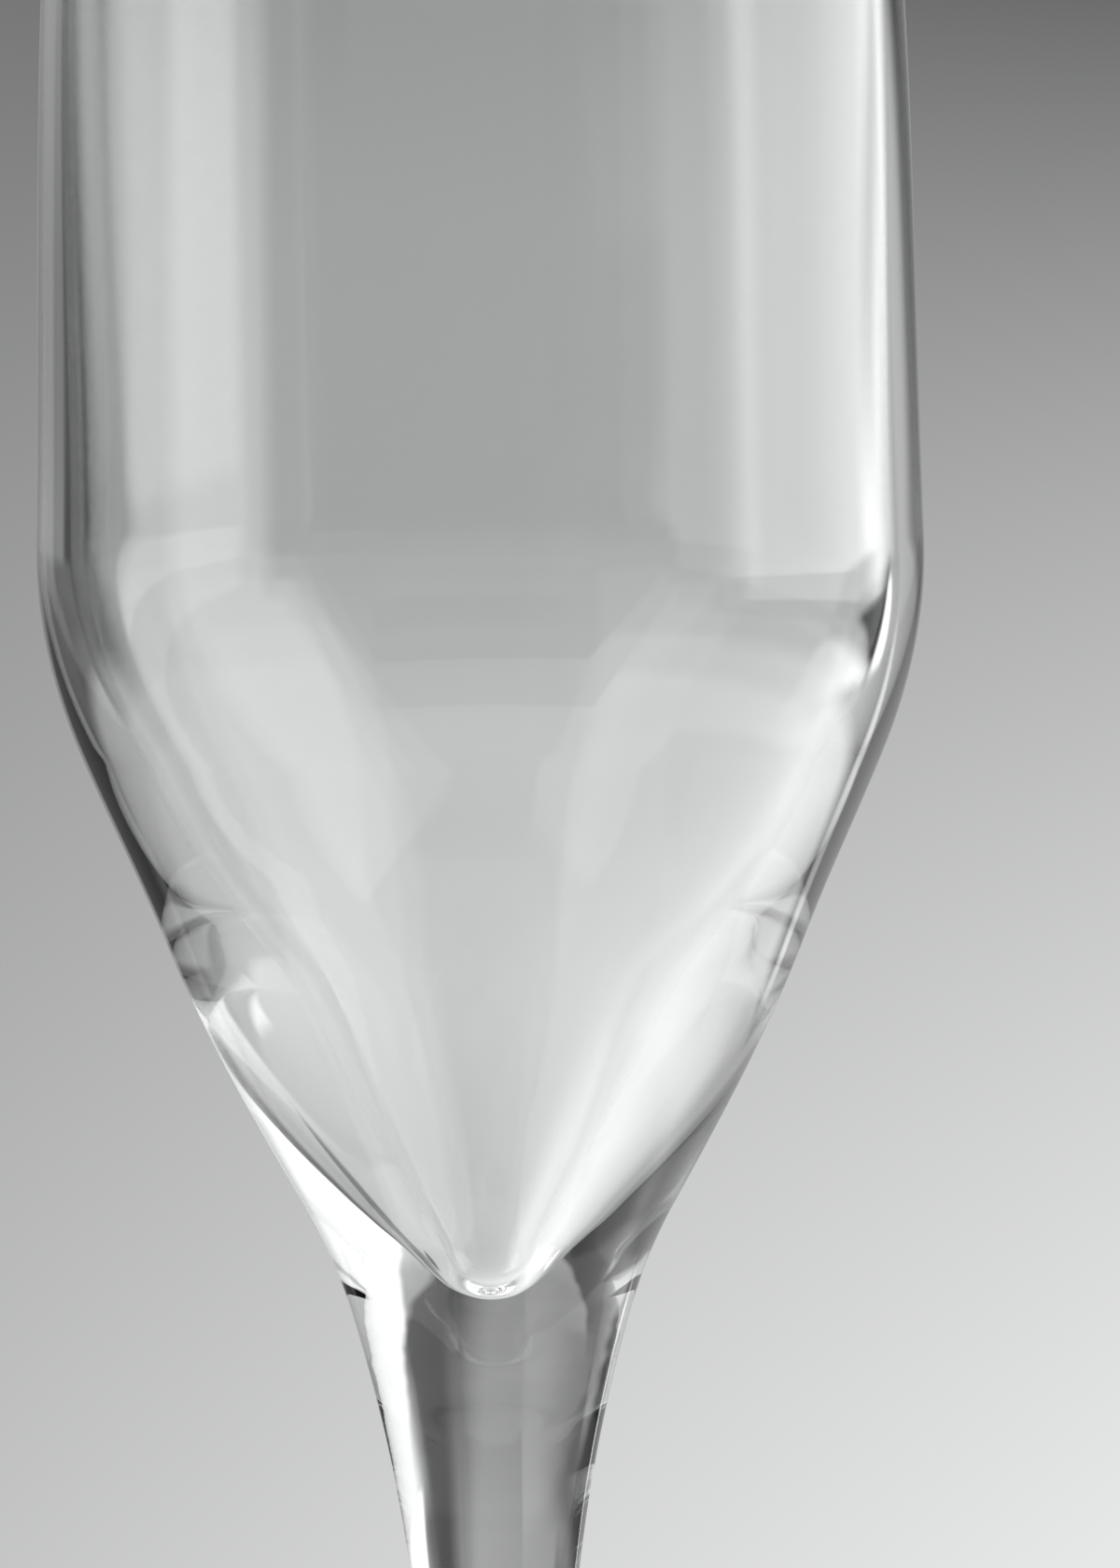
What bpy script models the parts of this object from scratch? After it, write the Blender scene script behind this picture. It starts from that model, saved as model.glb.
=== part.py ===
"""Champagne glass on a tall stem: a blown bowl, a drawn stem and a pressed foot, fused end to end.

Each piece is turned about the Z axis from a profile in the XZ plane. A profile is a chain of stations,
each a radius, a height and a lean, with a smooth curve from one station to the next. The lean is the
angle from straight down: 0 runs straight down, a positive lean runs inwards towards the axis, a negative
one runs outwards, and 90 degrees runs level towards the axis.
"""

import math

import bpy
import numpy as np

# Heights, stacked from the table to the rim (metres)
FOOT_HEIGHT = 0.0090  # table to the fused joint of foot and stem
STEM_LENGTH = 0.1130  # foot joint to the fused joint of stem and bowl
BOWL_FLOOR = 0.0031  # solid glass from the bowl joint to the tip of the inside
CONE_DEPTH = 0.0599  # tip of the inside to the shoulder
WALL_HEIGHT = 0.0650  # shoulder to the rim

# Bowl, outside
SHOULDER_RADIUS = 0.0360
SHOULDER_LEAN = math.radians(-1.7)
RIM_RADIUS = 0.0334
RIM_LEAN = math.radians(-6.0)
CONE_TOP_RADIUS = 0.0326
CONE_TOP_DROP = 0.0169  # shoulder down to the top of the cone
CONE_TOP_LEAN = math.radians(22.6)
CONE_MIDDLE_RADIUS = 0.0258
CONE_MIDDLE_DROP = 0.0326  # shoulder down to the middle of the cone
CONE_MIDDLE_LEAN = math.radians(21.3)
CONE_FOOT_RADIUS = 0.01505
CONE_FOOT_DROP = 0.0540  # shoulder down to where the cone turns into the stem
CONE_FOOT_LEAN = math.radians(29.4)
BOWL_JOINT_RADIUS = 0.0113
BOWL_JOINT_LEAN = math.radians(16.1)

# Bowl, inside: a thin wall that swells into a heavy heel
RIM_WALL = 0.0013
SHOULDER_WALL = 0.0027
INNER_SHOULDER_RISE = 0.0002  # shoulder up to the inner shoulder
INNER_SHOULDER_LEAN = math.radians(-0.9)
INNER_CONE_RADIUS = 0.02919
INNER_CONE_DROP = 0.0157  # shoulder down to the top of the inner cone
INNER_CONE_LEAN = math.radians(27.4)
INNER_MIDDLE_RADIUS = 0.01728
INNER_MIDDLE_DROP = 0.0360  # shoulder down to the middle of the inner cone
INNER_MIDDLE_LEAN = math.radians(34.7)
INNER_NECK_RADIUS = 0.0046
INNER_NECK_RISE = 0.0053  # tip of the inside up to where its rounding starts
INNER_NECK_LEAN = math.radians(32.3)

# Stem
STEM_TAPER_RADIUS = 0.00735
STEM_TAPER_DROP = 0.0180  # bowl joint down to the end of the quick taper
STEM_TAPER_LEAN = math.radians(8.2)
STEM_WAIST_RADIUS = 0.0040
STEM_WAIST_RISE = 0.0450  # foot joint up to the top of the slim part
STEM_FLARE_RISE = 0.0160  # foot joint up to the start of the flare
FOOT_JOINT_RADIUS = 0.0056
FOOT_JOINT_LEAN = math.radians(-24.0)

# Foot
FOOT_RADIUS = 0.0360
FOOT_EDGE = 0.0020  # thickness of the rounded edge
FOOT_EDGE_LEAN = math.radians(-86.0)
CONTACT_WIDTH = 0.0025  # flat ring that the glass stands on
HOLLOW_RISE = 0.0022  # height of the hollow under the middle of the foot
HOLLOW_LEAN = math.radians(97.0)

# Facets
BOWL_SEGMENTS = 56
STEM_SEGMENTS = 40
FOOT_SEGMENTS = 56
MERGE_DISTANCE = 0.00001
SHARP_ANGLE = math.radians(40.0)

# Glass
GLASS_COLOUR = (0.97, 0.98, 0.98, 1.0)
GLASS_ROUGHNESS = 0.02
GLASS_IOR = 1.515

LEVEL = math.radians(90.0)

FOOT_JOINT = FOOT_HEIGHT
BOWL_JOINT = FOOT_JOINT + STEM_LENGTH
INNER_TIP = BOWL_JOINT + BOWL_FLOOR
SHOULDER = INNER_TIP + CONE_DEPTH
RIM = SHOULDER + WALL_HEIGHT


def heading(lean):
    """Unit vector in the profile's plane that follows a lean."""
    return np.array([-math.sin(lean), -math.cos(lean)])


def flow(start, end, steps):
    """Points after the first one of a cubic curve between two stations that keeps both leans."""
    start_point = np.array(start[:2])
    end_point = np.array(end[:2])
    reach = np.linalg.norm(end_point - start_point)
    t = np.linspace(0.0, 1.0, steps + 1)[1:, None]
    along_start = (t**3 - 2.0 * t**2 + t) * reach * heading(start[2])
    along_end = (t**3 - t**2) * reach * heading(end[2])
    blend = 3.0 * t**2 - 2.0 * t**3
    return start_point * (1.0 - blend) + end_point * blend + along_start + along_end


def chain(stations, steps):
    """Points of a profile through every station, with the given number of steps between each two."""
    spans = zip(stations[:-1], stations[1:], steps)
    curves = [flow(start, end, count) for start, end, count in spans]
    return np.vstack([np.array([stations[0][:2]])] + curves)


def rounding(centre, radius, first, last, steps):
    """Points inside an arc, its ends left out; angles are measured from the outward radius."""
    angles = np.linspace(first, last, steps + 1)[1:-1]
    return np.array(centre) + radius * np.column_stack([np.cos(angles), np.sin(angles)])


def bowl_profile():
    """The inside from its tip up to the rim, over the rim, and the outside down to the joint face."""
    rim_rounding = RIM_WALL / 2.0
    rim_middle = (RIM_RADIUS - rim_rounding, RIM - rim_rounding)
    inside = chain(
        [
            (RIM_RADIUS - RIM_WALL, RIM - rim_rounding, RIM_LEAN),
            (SHOULDER_RADIUS - SHOULDER_WALL, SHOULDER + INNER_SHOULDER_RISE, INNER_SHOULDER_LEAN),
            (INNER_CONE_RADIUS, SHOULDER - INNER_CONE_DROP, INNER_CONE_LEAN),
            (INNER_MIDDLE_RADIUS, SHOULDER - INNER_MIDDLE_DROP, INNER_MIDDLE_LEAN),
            (INNER_NECK_RADIUS, INNER_TIP + INNER_NECK_RISE, INNER_NECK_LEAN),
            (0.0, INNER_TIP, LEVEL),
        ],
        steps=(5, 7, 4, 3, 5),
    )
    rim = rounding(rim_middle, rim_rounding, math.pi, 0.0, steps=6)
    outside = chain(
        [
            (RIM_RADIUS, RIM - rim_rounding, RIM_LEAN),
            (SHOULDER_RADIUS, SHOULDER, SHOULDER_LEAN),
            (CONE_TOP_RADIUS, SHOULDER - CONE_TOP_DROP, CONE_TOP_LEAN),
            (CONE_MIDDLE_RADIUS, SHOULDER - CONE_MIDDLE_DROP, CONE_MIDDLE_LEAN),
            (CONE_FOOT_RADIUS, SHOULDER - CONE_FOOT_DROP, CONE_FOOT_LEAN),
            (BOWL_JOINT_RADIUS, BOWL_JOINT, BOWL_JOINT_LEAN),
        ],
        steps=(5, 7, 3, 4, 4),
    )
    joint_middle = np.array([[0.0, BOWL_JOINT]])
    return np.vstack([inside[::-1], rim, outside, joint_middle])


def stem_profile():
    """The top joint face, the taper to the waist, the flare to the foot and the lower joint face."""
    side = chain(
        [
            (BOWL_JOINT_RADIUS, BOWL_JOINT, BOWL_JOINT_LEAN),
            (STEM_TAPER_RADIUS, BOWL_JOINT - STEM_TAPER_DROP, STEM_TAPER_LEAN),
            (STEM_WAIST_RADIUS, FOOT_JOINT + STEM_WAIST_RISE, 0.0),
            (STEM_WAIST_RADIUS, FOOT_JOINT + STEM_FLARE_RISE, 0.0),
            (FOOT_JOINT_RADIUS, FOOT_JOINT, FOOT_JOINT_LEAN),
        ],
        steps=(6, 7, 1, 6),
    )
    top_middle = np.array([[0.0, BOWL_JOINT]])
    bottom_middle = np.array([[0.0, FOOT_JOINT]])
    return np.vstack([top_middle, side, bottom_middle])


def foot_profile():
    """The joint face, the top swept out to the edge, the contact ring and the hollow underneath."""
    edge_rounding = FOOT_EDGE / 2.0
    edge_middle = (FOOT_RADIUS - edge_rounding, edge_rounding)
    edge_start = math.pi / 2.0 - (LEVEL + FOOT_EDGE_LEAN)
    edge_top = np.array(edge_middle) + edge_rounding * np.array([math.cos(edge_start), math.sin(edge_start)])
    top = chain(
        [
            (FOOT_JOINT_RADIUS, FOOT_JOINT, FOOT_JOINT_LEAN),
            (edge_top[0], edge_top[1], FOOT_EDGE_LEAN),
        ],
        steps=(12,),
    )
    edge = rounding(edge_middle, edge_rounding, edge_start, -math.pi / 2.0, steps=6)
    ring_outside = np.array([[edge_middle[0], 0.0]])
    hollow = chain(
        [
            (edge_middle[0] - CONTACT_WIDTH, 0.0, HOLLOW_LEAN),
            (0.0, HOLLOW_RISE, LEVEL),
        ],
        steps=(6,),
    )
    joint_middle = np.array([[0.0, FOOT_JOINT]])
    return np.vstack([joint_middle, top, edge, ring_outside, hollow])


def glass_material(name):
    """Clear soda-lime glass."""
    material = bpy.data.materials.new(name)
    material.use_nodes = True
    shader = material.node_tree.nodes["Principled BSDF"]
    shader.inputs["Base Color"].default_value = GLASS_COLOUR
    shader.inputs["Metallic"].default_value = 0.0
    shader.inputs["Roughness"].default_value = GLASS_ROUGHNESS
    shader.inputs["IOR"].default_value = GLASS_IOR
    shader.inputs["Transmission Weight"].default_value = 1.0
    return material


def turn(name, profile, segments, collection):
    """One turned piece: a profile spun once about the Z axis by a Screw modifier."""
    count = len(profile)
    vertices = np.column_stack([profile[:, 0], np.zeros(count), profile[:, 1]])
    edges = [(index, index + 1) for index in range(count - 1)]
    outline = bpy.data.meshes.new(name + "_outline")
    outline.from_pydata(vertices.tolist(), edges, [])
    piece = bpy.data.objects.new(name, outline)
    collection.objects.link(piece)

    screw = piece.modifiers.new("turn", "SCREW")
    screw.axis = "Z"
    screw.steps = segments
    screw.render_steps = segments
    screw.use_merge_vertices = True
    screw.merge_threshold = MERGE_DISTANCE

    view = bpy.context.evaluated_depsgraph_get()
    turned = bpy.data.meshes.new_from_object(piece.evaluated_get(view))
    turned.name = name
    piece.modifiers.clear()
    piece.data = turned
    bpy.data.meshes.remove(outline)
    turned.shade_smooth()
    turned.set_sharp_from_angle(angle=SHARP_ANGLE)
    turned.materials.append(glass_material(name + "_glass"))
    return piece


def main():
    for old in list(bpy.data.objects):
        bpy.data.objects.remove(old, do_unlink=True)
    glass = bpy.data.collections.new("champagne_glass")
    bpy.context.scene.collection.children.link(glass)
    turn("bowl", bowl_profile(), BOWL_SEGMENTS, glass)
    turn("stem", stem_profile(), STEM_SEGMENTS, glass)
    turn("foot", foot_profile(), FOOT_SEGMENTS, glass)


if __name__ == "__main__":
    main()
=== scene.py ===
"""Dresses the champagne glass: clear turned glass surfaces, a pale floor and a soft studio round it.

Lengths are metres and angles radians. Every surface is turned about the Z axis from a profile. A profile
is a chain of stations, each a radius, a height and a lean, joined by smooth curves. The lean is the angle
from straight down: positive runs inwards, negative outwards, and a right angle runs level to the axis.
"""

import math
from typing import NamedTuple

import bpy
import numpy as np
from bpy.props import FloatProperty, FloatVectorProperty, IntProperty, PointerProperty
from mathutils import Matrix, Vector


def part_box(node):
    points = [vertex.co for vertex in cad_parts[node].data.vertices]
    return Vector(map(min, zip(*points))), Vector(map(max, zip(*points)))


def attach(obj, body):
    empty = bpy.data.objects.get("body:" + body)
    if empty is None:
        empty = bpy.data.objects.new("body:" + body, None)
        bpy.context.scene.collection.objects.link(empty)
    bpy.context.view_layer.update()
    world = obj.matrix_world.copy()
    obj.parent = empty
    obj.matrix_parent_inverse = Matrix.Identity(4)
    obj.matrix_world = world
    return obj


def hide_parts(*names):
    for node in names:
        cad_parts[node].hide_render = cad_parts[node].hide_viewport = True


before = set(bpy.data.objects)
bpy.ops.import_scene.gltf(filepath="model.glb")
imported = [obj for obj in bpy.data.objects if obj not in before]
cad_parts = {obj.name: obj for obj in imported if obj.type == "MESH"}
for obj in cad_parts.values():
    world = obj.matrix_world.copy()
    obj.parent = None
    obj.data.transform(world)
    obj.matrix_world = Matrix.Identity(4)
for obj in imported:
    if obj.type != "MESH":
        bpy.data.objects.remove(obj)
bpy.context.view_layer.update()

BODY = "root"

BOWL_LOW, BOWL_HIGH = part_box("bowl")
STEM_LOW, STEM_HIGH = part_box("stem")
FOOT_LOW, FOOT_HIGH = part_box("foot")

IMAGE_WIDTH = 1200
IMAGE_HEIGHT = 1680
LEVEL = math.radians(90.0)
LIGHT_BOUNCES = 12

# A ray straight through the bowl passes the two surfaces of each wall. Whole counts are told apart midway
BOTH_WALLS = 4
MIDWAY = 0.5

# Facets along each span of a profile, and round the floor
INSIDE_STEPS = (40, 40, 28, 24, 24)
RIM_STEPS = 12
OUTSIDE_STEPS = (40, 40, 16, 24, 24)
STEM_STEPS = (32, 40, 16, 24)
FOOT_TOP_STEPS = (72,)
FOOT_EDGE_STEPS = 14
HOLLOW_STEPS = (40,)
FLOOR_SEGMENTS = 96

bl_info = {
    "name": "Champagne Glass",
    "version": (1, 0, 0),
    "blender": (4, 5, 0),
    "location": "View3D > Sidebar > Glass",
    "description": "Turned glass pieces and a studio for a stemmed champagne glass",
    "category": "Object",
}


def length(name, description, default):
    return FloatProperty(name=name, description=description, default=default, precision=5, unit="LENGTH")


def angle(name, description, degrees):
    return FloatProperty(name=name, description=description, default=math.radians(degrees), subtype="ANGLE")


def number(name, description, default):
    return FloatProperty(name=name, description=description, default=default)


def count(name, description, default):
    return IntProperty(name=name, description=description, default=default, min=3)


class BowlSettings(bpy.types.PropertyGroup):
    joint: length("Joint", "Height of the fused joint with the stem", BOWL_LOW.z)
    rim: length("Rim", "Height of the rim", BOWL_HIGH.z)
    shoulder: length("Shoulder", "Height of the widest place", 0.1850)
    shoulder_radius: length("Shoulder radius", "Radius of the widest place", BOWL_HIGH.x)
    shoulder_lean: angle("Shoulder lean", "Lean of the wall at the shoulder", -1.7)
    rim_radius: length("Rim radius", "Outer radius of the rim", 0.0334)
    rim_lean: angle("Rim lean", "Lean of the wall at the rim", -6.0)
    cone_top_radius: length("Cone top radius", "Outer radius where the cone starts", 0.0326)
    cone_top_drop: length("Cone top drop", "Shoulder down to the start of the cone", 0.0169)
    cone_top_lean: angle("Cone top lean", "Lean at the start of the cone", 22.6)
    cone_middle_radius: length("Cone middle radius", "Outer radius halfway down the cone", 0.0258)
    cone_middle_drop: length("Cone middle drop", "Shoulder down to the middle of the cone", 0.0326)
    cone_middle_lean: angle("Cone middle lean", "Lean halfway down the cone", 21.3)
    cone_foot_radius: length("Cone foot radius", "Outer radius where the cone turns into the stem", 0.01505)
    cone_foot_drop: length("Cone foot drop", "Shoulder down to where the cone turns", 0.0540)
    cone_foot_lean: angle("Cone foot lean", "Lean where the cone turns", 29.4)
    joint_radius: length("Joint radius", "Radius of the fused joint", 0.0113)
    joint_lean: angle("Joint lean", "Lean at the fused joint", 16.1)
    rim_wall: length("Rim wall", "Thickness of the rim", 0.0013)
    shoulder_wall: length("Shoulder wall", "Thickness of the wall at the shoulder", 0.0027)
    inner_shoulder_rise: length("Inner shoulder rise", "How far the inside turns above the outside", 0.0002)
    inner_shoulder_lean: angle("Inner shoulder lean", "Lean of the inside at its shoulder", -0.9)
    inner_cone_radius: length("Inner cone radius", "Inner radius where the inner cone starts", 0.02919)
    inner_cone_drop: length("Inner cone drop", "Shoulder down to the start of the inner cone", 0.0157)
    inner_cone_lean: angle("Inner cone lean", "Lean at the start of the inner cone", 27.4)
    inner_middle_radius: length("Inner middle radius", "Inner radius halfway down the inner cone", 0.01728)
    inner_middle_drop: length("Inner middle drop", "Shoulder down to the middle of the inner cone", 0.0360)
    inner_middle_lean: angle("Inner middle lean", "Lean halfway down the inner cone", 34.7)
    neck_radius: length("Neck radius", "Inner radius where the tip's rounding starts", 0.0046)
    neck_rise: length("Neck rise", "Tip up to where its rounding starts", 0.0053)
    neck_lean: angle("Neck lean", "Lean where the tip's rounding starts", 32.3)
    tip_drop: length("Tip drop", "Shoulder down to the tip of the inside", 0.0599)
    segments: count("Segments", "Facets round the bowl", 288)


class StemSettings(bpy.types.PropertyGroup):
    foot_joint: length("Foot joint", "Height of the fused joint with the foot", STEM_LOW.z)
    taper_radius: length("Taper radius", "Radius at the end of the quick taper", 0.00735)
    taper_drop: length("Taper drop", "Bowl joint down to the end of the quick taper", 0.0180)
    taper_lean: angle("Taper lean", "Lean at the end of the quick taper", 8.2)
    waist_radius: length("Waist radius", "Radius of the slim part", 0.0040)
    waist_rise: length("Waist rise", "Foot joint up to the top of the slim part", 0.0450)
    flare_rise: length("Flare rise", "Foot joint up to the start of the flare", 0.0160)
    foot_joint_radius: length("Foot joint radius", "Radius of the fused joint with the foot", 0.0056)
    foot_joint_lean: angle("Foot joint lean", "Lean at the fused joint with the foot", -24.0)
    segments: count("Segments", "Facets round the stem", 192)


class FootSettings(bpy.types.PropertyGroup):
    radius: length("Radius", "Radius of the foot", FOOT_HIGH.x)
    edge: length("Edge", "Thickness of the rounded edge", 0.0020)
    edge_lean: angle("Edge lean", "Lean of the top where it meets the edge", -86.0)
    contact_width: length("Contact width", "Width of the flat ring that the glass stands on", 0.0025)
    hollow_rise: length("Hollow rise", "Height of the hollow under the middle", 0.0022)
    hollow_lean: angle("Hollow lean", "Lean of the hollow where it leaves the ring", 97.0)
    segments: count("Segments", "Facets round the foot", 288)


class GlassSettings(bpy.types.PropertyGroup):
    colour: FloatVectorProperty(
        name="Colour",
        description="Tint of the glass",
        default=(0.994, 0.997, 0.997),
        subtype="COLOR",
    )
    ior: number("Index of refraction", "How strongly the glass bends light", 1.515)
    ripple_depth: length("Ripple depth", "Depth of the ripples left by the fused joint", 0.0001)
    ripple_reach: length("Ripple reach", "How far the ripples run above and below the joint", 0.014)
    ripple_height: length("Ripple height", "Height of one ripple", 0.0035)
    ripple_width: length("Ripple width", "Length of one ripple round the glass", 0.009)


class StudioSettings(bpy.types.PropertyGroup):
    distance: length("Camera distance", "Camera to the plane of the glass", 0.920)
    elevation: angle("Camera elevation", "How far the camera looks down", 5.05)
    roll: angle("Camera roll", "How far the camera is turned clockwise", 0.788)
    shoulder_width: number("Shoulder width", "Widest place of the glass in the picture, in pixels", 950.6)
    axis_column: number("Axis column", "Pixel column of the axis at the shoulder", 514.6)
    shoulder_row: number("Shoulder row", "Pixel row of the shoulder", 582.0)
    floor_radius: length("Floor radius", "Radius of the pale floor", 0.30)
    floor_plain: number("Plain floor", "Share of the floor's radius where its fading starts", 0.4)
    floor_roughness: number("Floor roughness", "How matt the floor is", 0.9)
    floor_colour: FloatVectorProperty(
        name="Floor colour",
        description="Colour of the pale floor",
        default=(0.80, 0.80, 0.80),
        subtype="COLOR",
    )


class Panel(NamedTuple):
    """A four-sided light, or a dark flag, by its directions from the glass, in degrees.

    The azimuth runs from straight behind the glass, positive to the right, and the elevation upwards. A
    slant is how far a side moves across for each degree upwards, and a tilt how far an end rises for each
    degree across, both from the panel's middle. Sides and ends fade over their softness. A level of 1 is
    white.
    """

    left: float
    right: float
    bottom: float
    top: float
    level: float
    slant_left: float = 0.0
    slant_right: float = 0.0
    tilt_bottom: float = 0.0
    tilt_top: float = 0.0
    soft_sides: float = 2.0
    soft_ends: float = 2.0


# Lights and flags that mirrored and bent rays meet, each laid over the ones before it
ROOM_PANELS = {
    "right softbox": Panel(28, 130, 4, 50, level=1.2, slant_right=0.3),
    "right strip light": Panel(44, 107, -9, 5, level=2.3, slant_left=-1.2, soft_sides=3.0, soft_ends=0.5),
    "right table": Panel(
        52, 148, -46, -25, level=1.9, slant_left=-0.3, slant_right=-0.3, tilt_bottom=-0.2, soft_sides=8.0
    ),
    "right table, near": Panel(106, 152, -67, -42, level=1.7, tilt_top=-0.2),
    "right table glow": Panel(
        27, 68, -26, -14, level=2.4, slant_left=1.0, tilt_bottom=-0.45, tilt_top=-0.45
    ),
    "right gap": Panel(37, 65, -21, -5, level=0.0, slant_left=0.4, tilt_top=-0.35),
    "right far gap": Panel(57, 113, -19, -14, level=0.3, tilt_top=0.15, soft_ends=0.8),
    "right far shade": Panel(114, 128, -10, 6, level=0.0),
    "left strip light": Panel(-143, -92, -66, 4, level=1.4, slant_left=0.6, soft_sides=3.0, soft_ends=0.5),
    "left table": Panel(-142, -98, -64, -21, level=1.9, slant_left=0.25),
    "left softbox": Panel(-141, -110, 4, 52, level=0.6, slant_left=0.3, slant_right=-0.7),
    "left flag": Panel(-82, -37, -27, 1, level=0.05, slant_left=0.5, slant_right=0.25),
    "left high flag": Panel(-106, -22, 10, 47, level=0.0, slant_left=-0.6, slant_right=0.9),
    "left wing": Panel(-40, -14, -20, -6, level=0.15, slant_right=-0.4),
    "left back shade": Panel(-70, -27, 3, 14, level=0.08, soft_sides=13.0),
    "front table": Panel(148, 208, -60, -35, level=0.9, slant_right=0.5),
    "front flag": Panel(150, 237, -7, 10, level=0.15, slant_left=1.0, tilt_top=-0.2),
    "front low flag": Panel(
        136, 218, -33, 0, level=0.0, slant_left=-0.7, slant_right=0.4, soft_sides=1.0, soft_ends=0.4
    ),
    "front high flag": Panel(143, 207, 23, 32, level=0.0),
    "front lamp": Panel(150, 213, 3, 13, level=0.5),
    "right flag": Panel(
        10, 35, -5, 18, level=0.0, slant_left=-0.6, tilt_bottom=0.3, tilt_top=-0.6, soft_sides=9.0
    ),
}
# Brightness of the bare room by elevation in degrees, and how much it rises to the right
ROOM_LEVELS = {-90: 0.5, -45: 0.8, -20: 0.6, -8: 0.4, 0: 0.4, 6: 0.3, 20: 0.25, 45: 0.5, 90: 0.7}
ROOM_SLOPE = 0.35

# Backdrop behind the glass, as rays that pass straight through both walls meet it
SCREEN_PANELS = {
    "left wing": Panel(-40, -14, -17, 6, level=0.0, tilt_bottom=0.25, soft_sides=4.0),
    "right table": Panel(14, 60, -26, -12, level=0.9, soft_sides=6.0),
    "right gap": Panel(15, 60, -21, -11.5, level=0.0, tilt_bottom=-0.42, soft_ends=0.7),
    "right glow": Panel(16, 38, -11, 0, level=1.6, slant_left=-0.5, soft_sides=4.0, soft_ends=0.5),
}
SCREEN_LEVELS = {-90: 0.65, -45: 0.85, -20: 0.62, -8: 0.5, -4: 0.43, 0: 0.23, 6: 0.25, 45: 0.3, 90: 0.4}
SCREEN_SLOPE = 0.4

# Backdrop as the camera sees it: level, slope and bend down the picture, in its middle and rising to the
# right. The shading runs on past the picture to these places, counted in half pictures from its middle
BACKDROP_MIDDLE = (0.46, 0.26, -0.03)
BACKDROP_ACROSS = (0.08, 0.07, -0.03)
BACKDROP_TOP = -1.2
BACKDROP_BOTTOM = 1.5
BACKDROP_SIDE = 1.2

# Faint green cast of the studio light
LIGHT_TINT = (0.985, 1.0, 0.99, 1.0)


def heading(lean):
    """Unit vector in the profile's plane that follows a lean."""
    return np.array([-math.sin(lean), -math.cos(lean)])


def flow(start, end, steps):
    """Points after the first of a cubic curve from one station to the next: each end's point, and each
    end's heading times the distance between them, are blended by the four Hermite polynomials."""
    start_point = np.array(start[:2])
    end_point = np.array(end[:2])
    reach = np.linalg.norm(end_point - start_point)
    t = np.linspace(0.0, 1.0, steps + 1)[1:, None]
    along_start = (t**3 - 2.0 * t**2 + t) * reach * heading(start[2])
    along_end = (t**3 - t**2) * reach * heading(end[2])
    blend = 3.0 * t**2 - 2.0 * t**3
    return start_point * (1.0 - blend) + end_point * blend + along_start + along_end


def chain(stations, steps):
    """Points of a profile through every station, with the given steps between each two."""
    spans = zip(stations[:-1], stations[1:], steps)
    curves = [flow(start, end, number_of_steps) for start, end, number_of_steps in spans]
    return np.vstack([np.array([stations[0][:2]])] + curves)


def rounding(centre, radius, first, last, steps):
    """Points inside an arc, its ends left out: the centre plus the radius times cosine and sine."""
    angles = np.linspace(first, last, steps + 1)[1:-1]
    return np.array(centre) + radius * np.column_stack([np.cos(angles), np.sin(angles)])


def turned_mesh(name, profile, segments, seams):
    """Surface of revolution: point (radius, height) of the profile goes to (radius cos a, radius sin a,
    height) for every angle a. The profile starts and ends on the axis, where a fan of triangles closes it.
    seams says which of the two fans, first and last, are fused joint faces."""
    rings = profile[1:-1]
    turn = np.linspace(0.0, 2.0 * np.pi, segments, endpoint=False)
    radius = rings[:, :1]
    height = np.broadcast_to(rings[:, 1:], (len(rings), segments))
    grid = np.stack([radius * np.cos(turn), radius * np.sin(turn), height], axis=-1)
    first_pole = np.array([[0.0, 0.0, profile[0, 1]]])
    last_pole = np.array([[0.0, 0.0, profile[-1, 1]]])
    vertices = np.vstack([grid.reshape(-1, 3), first_pole, last_pole])

    index = np.arange(len(rings) * segments).reshape(len(rings), segments)
    onward = np.roll(index, -1, axis=1)
    quads = np.stack([index[:-1], index[1:], onward[1:], onward[:-1]], axis=-1).reshape(-1, 4)
    first_index = np.full(segments, len(rings) * segments)
    last_index = first_index + 1
    first_fan = np.stack([first_index, index[0], onward[0]], axis=-1)
    last_fan = np.stack([index[-1], last_index, onward[-1]], axis=-1)

    slope = profile_normals(profile, seams)
    ring_slope = slope[1:-1]
    across = ring_slope[:, :1]
    upward = np.broadcast_to(ring_slope[:, 1:], (len(rings), segments))
    normal_grid = np.stack([across * np.cos(turn), across * np.sin(turn), upward], axis=-1)
    pole_normals = np.array([[0.0, 0.0, np.sign(slope[0, 1])], [0.0, 0.0, np.sign(slope[-1, 1])]])
    normals = np.vstack([normal_grid.reshape(-1, 3), pole_normals])

    mesh = bpy.data.meshes.new(name)
    mesh.from_pydata(vertices.tolist(), [], quads.tolist() + first_fan.tolist() + last_fan.tolist())
    fan_flags = np.repeat(seams, segments)
    seam_flags = np.concatenate([np.zeros(len(quads)), fan_flags])
    mesh.polygons.foreach_set("material_index", seam_flags.astype(np.int32))
    mesh.shade_smooth()
    mesh.normals_split_custom_set_from_vertices(normals.tolist())
    mesh.update()
    return mesh


def profile_normals(profile, seams):
    """Outward normal at every point of a profile: the headings of the two spans at a point, each weighted
    by the other's length, turned a quarter. Beside a joint face the wall's own headings are carried on by
    half a span."""
    spans = np.diff(profile, axis=0)
    lengths = np.linalg.norm(spans, axis=1, keepdims=True)
    headings = spans / lengths
    between = headings[:-1] * lengths[1:] + headings[1:] * lengths[:-1]
    tangent = np.vstack([headings[:1], between, headings[-1:]])
    if seams[0]:
        tangent[1] = headings[1] + (headings[1] - headings[2]) / 2.0
    if seams[1]:
        tangent[-2] = headings[-2] + (headings[-2] - headings[-3]) / 2.0
    tangent /= np.linalg.norm(tangent, axis=1, keepdims=True)
    return np.column_stack([-tangent[:, 1], tangent[:, 0]])


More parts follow.
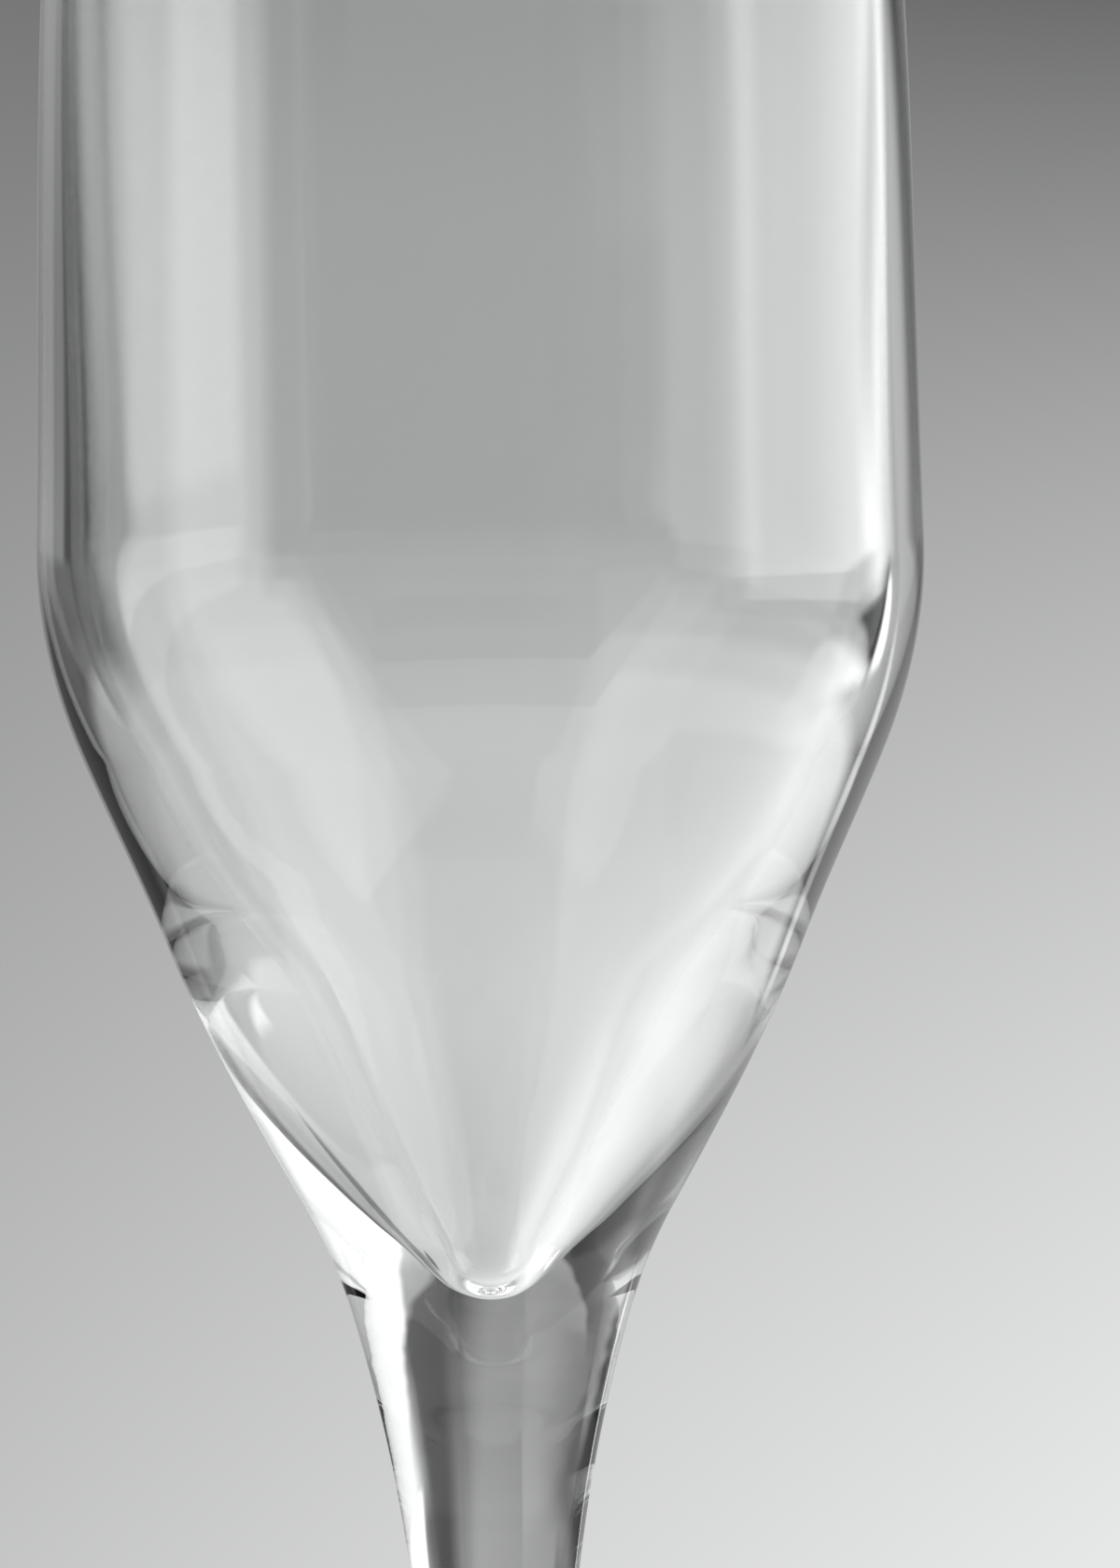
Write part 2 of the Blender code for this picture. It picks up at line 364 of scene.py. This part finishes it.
def add_piece(mesh, node, finish):
    """Puts a turned mesh in the scene in place of a CAD node, with its glass and its joint faces."""
    piece = bpy.data.objects.new(mesh.name, mesh)
    bpy.context.scene.collection.objects.link(piece)
    mesh.materials.append(finish)
    mesh.materials.append(fused_seam())
    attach(piece, BODY)
    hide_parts(node)


def fused_seam():
    """Joint faces of the fused pieces: the glass is one body there, so light passes straight through."""
    material = bpy.data.materials.get("fused_seam")
    if material is None:
        material = bpy.data.materials.new("fused_seam")
        material.use_nodes = True
        nodes = material.node_tree.nodes
        nodes.remove(nodes["Principled BSDF"])
        clear = nodes.new("ShaderNodeBsdfTransparent")
        material.node_tree.links.new(clear.outputs["BSDF"], nodes["Material Output"].inputs["Surface"])
    return material


def joint_ripples(tree, settings, joint):
    """Normal with faint ripples left where the pieces were fused: noise drawn out round the glass, times a
    mask that falls from 1 at the joint to 0 at the reach above and below it."""
    place = add_node(tree, "ShaderNodeTexCoord").outputs["Object"]
    height = add_node(tree, "ShaderNodeSeparateXYZ", {"Vector": place}).outputs["Z"]
    away = calculate(tree, "ABSOLUTE", calculate(tree, "SUBTRACT", height, joint))
    mask = add_node(
        tree,
        "ShaderNodeMapRange",
        {"Value": away, "From Min": settings.ripple_reach, "From Max": 0.0},
        interpolation_type="SMOOTHSTEP",
    )
    scale = (1.0 / settings.ripple_width, 1.0 / settings.ripple_width, 1.0 / settings.ripple_height)
    spread = add_node(tree, "ShaderNodeMapping", {"Vector": place, "Scale": scale})
    noise_inputs = {"Vector": spread.outputs["Vector"], "Scale": 1.0, "Detail": 1.0}
    noise = add_node(tree, "ShaderNodeTexNoise", noise_inputs)
    wave = calculate(tree, "MULTIPLY", noise.outputs["Fac"], mask.outputs["Result"])
    bump_inputs = {"Height": wave, "Strength": 1.0, "Distance": settings.ripple_depth}
    bump = add_node(tree, "ShaderNodeBump", bump_inputs)
    return bump.outputs["Normal"]


def clear_glass(name, settings, joint=None):
    """Clear polished glass, with faint ripples round the height of a fused joint."""
    material = bpy.data.materials.new(name)
    material.use_nodes = True
    shader = material.node_tree.nodes["Principled BSDF"]
    shader.inputs["Base Color"].default_value = (*settings.colour, 1.0)
    shader.inputs["Roughness"].default_value = 0.0
    shader.inputs["IOR"].default_value = settings.ior
    shader.inputs["Transmission Weight"].default_value = 1.0
    if joint is not None:
        tree = material.node_tree
        tree.links.new(joint_ripples(tree, settings, joint), shader.inputs["Normal"])
    return material


def bowl_profile(bowl):
    """Inside from its tip up, over the rounded rim, and the outside down to the joint face."""
    half_rim = bowl.rim_wall / 2.0
    rim_base = bowl.rim - half_rim
    tip = bowl.shoulder - bowl.tip_drop
    inside = chain(
        [
            (bowl.rim_radius - bowl.rim_wall, rim_base, bowl.rim_lean),
            (
                bowl.shoulder_radius - bowl.shoulder_wall,
                bowl.shoulder + bowl.inner_shoulder_rise,
                bowl.inner_shoulder_lean,
            ),
            (bowl.inner_cone_radius, bowl.shoulder - bowl.inner_cone_drop, bowl.inner_cone_lean),
            (bowl.inner_middle_radius, bowl.shoulder - bowl.inner_middle_drop, bowl.inner_middle_lean),
            (bowl.neck_radius, tip + bowl.neck_rise, bowl.neck_lean),
            (0.0, tip, LEVEL),
        ],
        steps=INSIDE_STEPS,
    )
    rim = rounding((bowl.rim_radius - half_rim, rim_base), half_rim, math.pi, 0.0, steps=RIM_STEPS)
    outside = chain(
        [
            (bowl.rim_radius, rim_base, bowl.rim_lean),
            (bowl.shoulder_radius, bowl.shoulder, bowl.shoulder_lean),
            (bowl.cone_top_radius, bowl.shoulder - bowl.cone_top_drop, bowl.cone_top_lean),
            (bowl.cone_middle_radius, bowl.shoulder - bowl.cone_middle_drop, bowl.cone_middle_lean),
            (bowl.cone_foot_radius, bowl.shoulder - bowl.cone_foot_drop, bowl.cone_foot_lean),
            (bowl.joint_radius, bowl.joint, bowl.joint_lean),
        ],
        steps=OUTSIDE_STEPS,
    )
    joint_middle = np.array([[0.0, bowl.joint]])
    return np.vstack([inside[::-1], rim, outside, joint_middle])


def stem_profile(bowl, stem):
    """Top joint face, taper to the slim part, flare to the foot and lower joint face."""
    side = chain(
        [
            (bowl.joint_radius, bowl.joint, bowl.joint_lean),
            (stem.taper_radius, bowl.joint - stem.taper_drop, stem.taper_lean),
            (stem.waist_radius, stem.foot_joint + stem.waist_rise, 0.0),
            (stem.waist_radius, stem.foot_joint + stem.flare_rise, 0.0),
            (stem.foot_joint_radius, stem.foot_joint, stem.foot_joint_lean),
        ],
        steps=STEM_STEPS,
    )
    top_middle = np.array([[0.0, bowl.joint]])
    bottom_middle = np.array([[0.0, stem.foot_joint]])
    return np.vstack([top_middle, side, bottom_middle])


def foot_profile(stem, foot):
    """Joint face, top swept out to the rounded edge, flat contact ring and shallow hollow."""
    half_edge = foot.edge / 2.0
    edge_middle = (foot.radius - half_edge, half_edge)
    edge_start = -foot.edge_lean
    edge_top = np.array(edge_middle) + half_edge * np.array([math.cos(edge_start), math.sin(edge_start)])
    top = chain(
        [
            (stem.foot_joint_radius, stem.foot_joint, stem.foot_joint_lean),
            (edge_top[0], edge_top[1], foot.edge_lean),
        ],
        steps=FOOT_TOP_STEPS,
    )
    edge = rounding(edge_middle, half_edge, edge_start, -LEVEL, steps=FOOT_EDGE_STEPS)
    ring_outside = np.array([[edge_middle[0], 0.0]])
    hollow = chain(
        [
            (edge_middle[0] - foot.contact_width, 0.0, foot.hollow_lean),
            (0.0, foot.hollow_rise, LEVEL),
        ],
        steps=HOLLOW_STEPS,
    )
    joint_middle = np.array([[0.0, stem.foot_joint]])
    return np.vstack([joint_middle, top, edge, ring_outside, hollow])


class GLASS_OT_bowl(bpy.types.Operator):
    """Make the blown bowl"""

    bl_idname = "champagne_glass.bowl"
    bl_label = "Bowl"

    def execute(self, context):
        scene = context.scene
        bowl = scene.champagne_bowl
        mesh = turned_mesh("glass_bowl", bowl_profile(bowl), bowl.segments, seams=(0, 1))
        finish = clear_glass("bowl_glass", scene.champagne_material, bowl.joint)
        add_piece(mesh, "bowl", finish)
        return {"FINISHED"}


class GLASS_OT_stem(bpy.types.Operator):
    """Make the drawn stem"""

    bl_idname = "champagne_glass.stem"
    bl_label = "Stem"

    def execute(self, context):
        scene = context.scene
        bowl = scene.champagne_bowl
        stem = scene.champagne_stem
        profile = stem_profile(bowl, stem)
        mesh = turned_mesh("glass_stem", profile, stem.segments, seams=(1, 1))
        finish = clear_glass("stem_glass", scene.champagne_material, bowl.joint)
        add_piece(mesh, "stem", finish)
        return {"FINISHED"}


class GLASS_OT_foot(bpy.types.Operator):
    """Make the pressed foot"""

    bl_idname = "champagne_glass.foot"
    bl_label = "Foot"

    def execute(self, context):
        scene = context.scene
        foot = scene.champagne_foot
        profile = foot_profile(scene.champagne_stem, foot)
        mesh = turned_mesh("glass_foot", profile, foot.segments, seams=(1, 0))
        finish = clear_glass("foot_glass", scene.champagne_material)
        add_piece(mesh, "foot", finish)
        return {"FINISHED"}


def add_camera(scene, studio, bowl):
    """Camera that puts the shoulder at its pixel row and column and at its width in the picture."""
    view = Vector((0.0, math.cos(studio.elevation), -math.sin(studio.elevation)))
    plain_up = Vector((0.0, math.sin(studio.elevation), math.cos(studio.elevation)))
    plain_right = Vector((1.0, 0.0, 0.0))
    right = math.cos(studio.roll) * plain_right - math.sin(studio.roll) * plain_up
    up = math.sin(studio.roll) * plain_right + math.cos(studio.roll) * plain_up
    pixels_per_metre = studio.shoulder_width / (2.0 * bowl.shoulder_radius)
    across = (IMAGE_WIDTH / 2.0 - studio.axis_column) / pixels_per_metre
    down = (IMAGE_HEIGHT / 2.0 - studio.shoulder_row) / pixels_per_metre
    aim = Vector((0.0, 0.0, bowl.shoulder)) + across * right - down * up
    place = aim - studio.distance * view

    data = bpy.data.cameras.new("camera")
    data.lens = data.sensor_width * studio.distance * pixels_per_metre / IMAGE_HEIGHT
    camera = bpy.data.objects.new("camera", data)
    camera.matrix_world = Matrix.Translation(place) @ Matrix((right, up, -view)).transposed().to_4x4()
    scene.collection.objects.link(camera)
    scene.camera = camera


def add_node(tree, kind, inputs=None, **settings):
    """New node with its settings, and with each input set to a value or linked to a socket."""
    node = tree.nodes.new(kind)
    for name, value in settings.items():
        setattr(node, name, value)
    for key, value in (inputs or {}).items():
        if isinstance(value, bpy.types.NodeSocket):
            tree.links.new(value, node.inputs[key])
        else:
            node.inputs[key].default_value = value
    return node


def calculate(tree, operation, *values, clamp=False):
    """Output of a Math node."""
    node = add_node(tree, "ShaderNodeMath", dict(enumerate(values)), operation=operation, use_clamp=clamp)
    return node.outputs["Value"]


def blend(tree, factor, low, high):
    """Low where the factor is 0, high where it is 1."""
    node = add_node(tree, "ShaderNodeMix", {0: factor, 2: low, 3: high}, data_type="FLOAT")
    return node.outputs[0]


def side_mask(tree, offset, along, slant, place, soft):
    """1 past a side of a panel and 0 before it, rising smoothly across its softness."""
    passed = calculate(tree, "MULTIPLY_ADD", along, -slant, offset)
    edge = math.radians(place)
    spread = math.radians(soft)
    inputs = {"Value": passed, "From Min": edge - spread, "From Max": edge + spread}
    node = add_node(tree, "ShaderNodeMapRange", inputs, interpolation_type="SMOOTHSTEP")
    return node.outputs["Result"]


def panel_mask(tree, azimuth, elevation, panel):
    """1 on a panel and 0 off it: the product of its four sides, each placed from the panel's middle."""
    half_width = (panel.right - panel.left) / 2.0
    half_height = (panel.top - panel.bottom) / 2.0
    turn = calculate(tree, "SUBTRACT", azimuth, math.radians(panel.left + half_width))
    across = calculate(tree, "WRAP", turn, math.pi, -math.pi)
    up = calculate(tree, "SUBTRACT", elevation, math.radians(panel.bottom + half_height))
    left = side_mask(tree, across, up, panel.slant_left, -half_width, panel.soft_sides)
    right = side_mask(tree, across, up, panel.slant_right, half_width, -panel.soft_sides)
    bottom = side_mask(tree, up, across, panel.tilt_bottom, -half_height, panel.soft_ends)
    top = side_mask(tree, up, across, panel.tilt_top, half_height, -panel.soft_ends)
    sides = calculate(tree, "MULTIPLY", left, right)
    ends = calculate(tree, "MULTIPLY", bottom, top)
    return calculate(tree, "MULTIPLY", sides, ends)


def level_by_height(tree, azimuth, elevation, levels, slope):
    """Brightness by elevation, straight between the given levels, rising to the right by the slope times
    the sine of the azimuth."""
    span = add_node(
        tree,
        "ShaderNodeMapRange",
        {"Value": elevation, "From Min": -LEVEL, "From Max": LEVEL, "To Min": 0.0, "To Max": 1.0},
    )
    ramp = add_node(tree, "ShaderNodeValToRGB", {"Fac": span.outputs["Result"]})
    stops = ramp.color_ramp.elements
    places = [(math.radians(height) + LEVEL) / (2.0 * LEVEL) for height in levels]
    for place in places[1:-1]:
        stops.new(place)
    for stop, place, level in zip(stops, places, levels.values()):
        stop.position = place
        stop.color = (level, level, level, 1.0)
    across = calculate(tree, "MULTIPLY_ADD", calculate(tree, "SINE", azimuth), slope, 1.0)
    grey = add_node(tree, "ShaderNodeSeparateColor", {"Color": ramp.outputs["Color"]})
    return calculate(tree, "MULTIPLY", grey.outputs["Red"], across)


def panelled(tree, azimuth, elevation, levels, slope, panels):
    """Levels by height with panels laid over them, each over the ones before it."""
    level = level_by_height(tree, azimuth, elevation, levels, slope)
    for panel in panels.values():
        level = blend(tree, panel_mask(tree, azimuth, elevation, panel), level, panel.level)
    return level


def curve_of(tree, place, coefficients):
    """Sum of the coefficients times the powers 0, 1 and 2 of the place."""
    level, slope, bend = coefficients
    inner = calculate(tree, "MULTIPLY_ADD", place, bend, slope)
    return calculate(tree, "MULTIPLY_ADD", place, inner, level)


def backdrop_level(tree, azimuth, elevation, studio, bowl):
    """Plain backdrop: brighter downwards, and to the right near the bottom."""
    pixels = studio.distance * studio.shoulder_width / (2.0 * bowl.shoulder_radius)
    half_height = math.atan(IMAGE_HEIGHT / 2.0 / pixels)
    half_width = math.atan(IMAGE_WIDTH / 2.0 / pixels)
    below = calculate(tree, "ADD", elevation, studio.elevation)
    down = calculate(tree, "MULTIPLY", below, -1.0 / half_height)
    down = calculate(tree, "MINIMUM", calculate(tree, "MAXIMUM", down, BACKDROP_TOP), BACKDROP_BOTTOM)
    right = calculate(tree, "MULTIPLY", azimuth, 1.0 / half_width)
    right = calculate(tree, "MINIMUM", calculate(tree, "MAXIMUM", right, -BACKDROP_SIDE), BACKDROP_SIDE)
    middle = curve_of(tree, down, BACKDROP_MIDDLE)
    across = curve_of(tree, down, BACKDROP_ACROSS)
    return calculate(tree, "MULTIPLY_ADD", right, across, middle)


def straight_through(tree, light_path):
    """1 for rays that have passed both walls of the bowl and met no mirror on the way."""
    surfaces = light_path.outputs["Transmission Depth"]
    both_walls = calculate(tree, "GREATER_THAN", surfaces, BOTH_WALLS - MIDWAY)
    no_mirror = calculate(tree, "LESS_THAN", light_path.outputs["Glossy Depth"], MIDWAY)
    return calculate(tree, "MULTIPLY", both_walls, no_mirror)


def add_world(scene, studio, bowl):
    """Soft studio light from all round, with a plain backdrop behind the glass."""
    world = bpy.data.worlds.new("studio")
    world.use_nodes = True
    tree = world.node_tree
    direction = add_node(tree, "ShaderNodeTexCoord").outputs["Generated"]
    parts = add_node(tree, "ShaderNodeSeparateXYZ", {"Vector": direction}).outputs
    azimuth = calculate(tree, "ARCTAN2", parts["X"], parts["Y"])
    elevation = calculate(tree, "ARCSINE", parts["Z"])
    light_path = add_node(tree, "ShaderNodeLightPath")

    room = panelled(tree, azimuth, elevation, ROOM_LEVELS, ROOM_SLOPE, ROOM_PANELS)
    screen = panelled(tree, azimuth, elevation, SCREEN_LEVELS, SCREEN_SLOPE, SCREEN_PANELS)
    backdrop = backdrop_level(tree, azimuth, elevation, studio, bowl)
    seen = blend(tree, straight_through(tree, light_path), room, screen)
    level = blend(tree, light_path.outputs["Is Camera Ray"], seen, backdrop)
    tree.links.new(level, tree.nodes["Background"].inputs["Strength"])
    tree.nodes["Background"].inputs["Color"].default_value = LIGHT_TINT
    scene.world = world


def floor_finish(studio):
    """Pale matt floor that fades out towards its edge. Light bent in the glass passes it to the studio."""
    material = bpy.data.materials.new("pale_floor")
    material.use_nodes = True
    tree = material.node_tree
    shader = tree.nodes["Principled BSDF"]
    shader.inputs["Base Color"].default_value = (*studio.floor_colour, 1.0)
    shader.inputs["Roughness"].default_value = studio.floor_roughness
    light_path = add_node(tree, "ShaderNodeLightPath")
    place = add_node(tree, "ShaderNodeTexCoord").outputs["Object"]
    reach = add_node(tree, "ShaderNodeVectorMath", {0: place}, operation="LENGTH").outputs["Value"]
    plain_radius = studio.floor_plain * studio.floor_radius
    fade = add_node(
        tree,
        "ShaderNodeMapRange",
        {"Value": reach, "From Min": studio.floor_radius, "From Max": plain_radius},
        interpolation_type="SMOOTHSTEP",
    )
    share = calculate(tree, "MULTIPLY", fade.outputs["Result"], light_path.outputs["Is Camera Ray"])
    clear = add_node(tree, "ShaderNodeBsdfTransparent")
    mix_inputs = {0: share, 1: clear.outputs["BSDF"], 2: shader.outputs["BSDF"]}
    mixed = add_node(tree, "ShaderNodeMixShader", mix_inputs)
    tree.links.new(mixed.outputs["Shader"], tree.nodes["Material Output"].inputs["Surface"])
    return material


def add_floor(scene, studio):
    """Round floor under the foot."""
    turn = np.linspace(0.0, 2.0 * np.pi, FLOOR_SEGMENTS, endpoint=False)
    rim = np.column_stack([np.cos(turn), np.sin(turn), np.zeros(FLOOR_SEGMENTS)]) * studio.floor_radius
    mesh = bpy.data.meshes.new("pale_floor")
    mesh.from_pydata(rim.tolist(), [], [list(range(FLOOR_SEGMENTS))])
    mesh.materials.append(floor_finish(studio))
    floor = bpy.data.objects.new("pale_floor", mesh)
    scene.collection.objects.link(floor)


class GLASS_OT_studio(bpy.types.Operator):
    """Make the floor, the soft light and the camera"""

    bl_idname = "champagne_glass.studio"
    bl_label = "Studio"

    def execute(self, context):
        scene = context.scene
        studio = scene.champagne_studio
        add_camera(scene, studio, scene.champagne_bowl)
        add_world(scene, studio, scene.champagne_bowl)
        add_floor(scene, studio)
        scene.view_settings.view_transform = "Standard"
        scene.cycles.max_bounces = LIGHT_BOUNCES
        scene.cycles.transmission_bounces = LIGHT_BOUNCES
        scene.cycles.glossy_bounces = LIGHT_BOUNCES
        scene.cycles.transparent_max_bounces = LIGHT_BOUNCES
        return {"FINISHED"}


class GLASS_PT_panel(bpy.types.Panel):
    """Buttons that make the glass"""

    bl_label = "Champagne Glass"
    bl_idname = "GLASS_PT_panel"
    bl_space_type = "VIEW_3D"
    bl_region_type = "UI"
    bl_category = "Glass"

    def draw(self, context):
        for operator in OPERATORS:
            self.layout.operator(operator.bl_idname)


SETTINGS = {
    "champagne_bowl": BowlSettings,
    "champagne_stem": StemSettings,
    "champagne_foot": FootSettings,
    "champagne_material": GlassSettings,
    "champagne_studio": StudioSettings,
}
OPERATORS = (GLASS_OT_bowl, GLASS_OT_stem, GLASS_OT_foot, GLASS_OT_studio)
CLASSES = (*SETTINGS.values(), *OPERATORS, GLASS_PT_panel)


def register():
    for cls in CLASSES:
        bpy.utils.register_class(cls)
    for name, cls in SETTINGS.items():
        setattr(bpy.types.Scene, name, PointerProperty(type=cls))


def unregister():
    for name in SETTINGS:
        delattr(bpy.types.Scene, name)
    for cls in reversed(CLASSES):
        bpy.utils.unregister_class(cls)


def main():
    register()
    bpy.ops.champagne_glass.bowl()
    bpy.ops.champagne_glass.stem()
    bpy.ops.champagne_glass.foot()
    bpy.ops.champagne_glass.studio()


if __name__ == "__main__":
    main()
